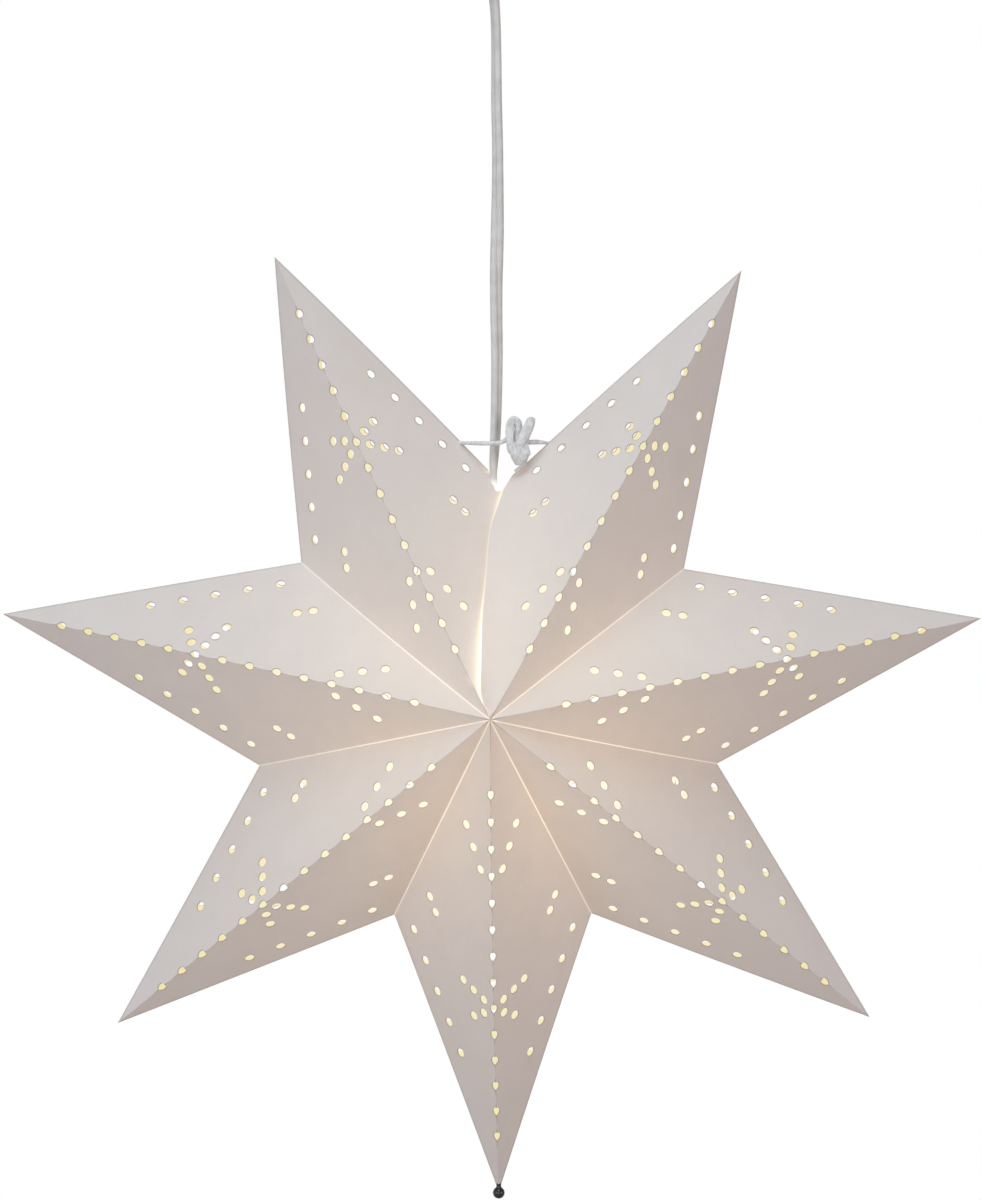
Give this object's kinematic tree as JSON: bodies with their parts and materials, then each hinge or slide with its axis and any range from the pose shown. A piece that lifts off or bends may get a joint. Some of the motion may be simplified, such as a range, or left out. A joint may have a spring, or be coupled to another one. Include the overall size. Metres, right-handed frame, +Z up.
{
  "type": "paper star lantern",
  "caption": "Pointed star of folded, punched card that hangs round a lamp on a flat cable from a ceiling hook and glows through its holes.",
  "frame": {"origin": "centre of the ceiling plate's flat top face, where the lantern hangs from", "axes": "+Z up, the star's front face towards -Y, +X to its right as seen from the front"},
  "size_m": [0.437, 0.1494, 0.6662],
  "materials": {
    "card": "matt uncoated white card, lit from inside",
    "tie_cord": "smooth white braided cord",
    "cable": "smooth pale flexible plastic sheath",
    "dark_steel": "polished dark metal",
    "steel": "satin plated steel",
    "painted_steel": "white satin paint",
    "white_plastic": "white satin moulded plastic",
    "brass": "plain brass",
    "ceramic": "glazed white ceramic",
    "black_glass": "black glass insulator",
    "opal_glass": "opal white glass"
  },
  "bodies": {
    "ceiling": {"ceiling_plate": "painted_steel", "plate_screw_left": "steel", "plate_screw_right": "steel", "ceiling_hook": "steel", "hook_nut": "steel"},
    "link": {"hanger_link": "steel"},
    "eye": {"swivel_eye": "steel"},
    "lamp": {"connection_housing": "white_plastic", "housing_lid": "white_plastic", "cable_clamp": "white_plastic", "clamp_screw_left": "steel", "clamp_screw_right": "steel", "terminal_block": "white_plastic", "block_screw_left": "brass", "block_screw_right": "brass", "lamp_cable": "cable", "holder_cap": "white_plastic", "cord_grip": "white_plastic", "holder_body": "white_plastic", "contact_block": "ceramic", "terminal_screw_left": "brass", "terminal_screw_right": "brass", "core_wire_left": "brass", "core_wire_right": "brass", "screw_shell": "brass", "centre_contact": "brass"},
    "bulb": {"bulb_tip_contact": "steel", "bulb_insulator": "black_glass", "bulb_cap": "brass", "bulb_glass": "opal_glass", "bulb_stem": "opal_glass", "bulb_filament": "brass"},
    "star": {"star_point_top_right": "card", "star_point_right": "card", "star_point_lower_right": "card", "star_point_bottom": "card", "star_point_lower_left": "card", "star_point_left": "card", "star_point_top_left": "card", "tie_cord_left": "tie_cord", "tie_cord_right": "tie_cord", "tie_knot": "tie_cord", "tip_pin": "steel", "tip_ball": "dark_steel"}
  },
  "joints": [
    {"name": "link_swing", "type": "hinge", "parent": "ceiling", "child": "link", "pos_m": [0, 0, -0.034], "axis": [1, 0, 0], "range_deg": [-25, 25]},
    {"name": "eye_swing", "type": "hinge", "parent": "link", "child": "eye", "pos_m": [0, 0, -0.0517], "axis": [0, 1, 0], "range_deg": [-25, 25]},
    {"name": "lantern_turn", "type": "hinge", "parent": "eye", "child": "lamp", "pos_m": [0, 0, -0.065], "axis": [0, 0, 1], "continuous": true},
    {"name": "bulb_unscrew", "type": "hinge", "parent": "lamp", "child": "bulb", "pos_m": [0, 0, -0.419], "axis": [0, 0, 1], "range_deg": [0, 1080]},
    {"name": "star_height", "type": "slide", "parent": "lamp", "child": "star", "axis": [0, 0, 1], "range_m": [-0.012, 0.012]}
  ]
}
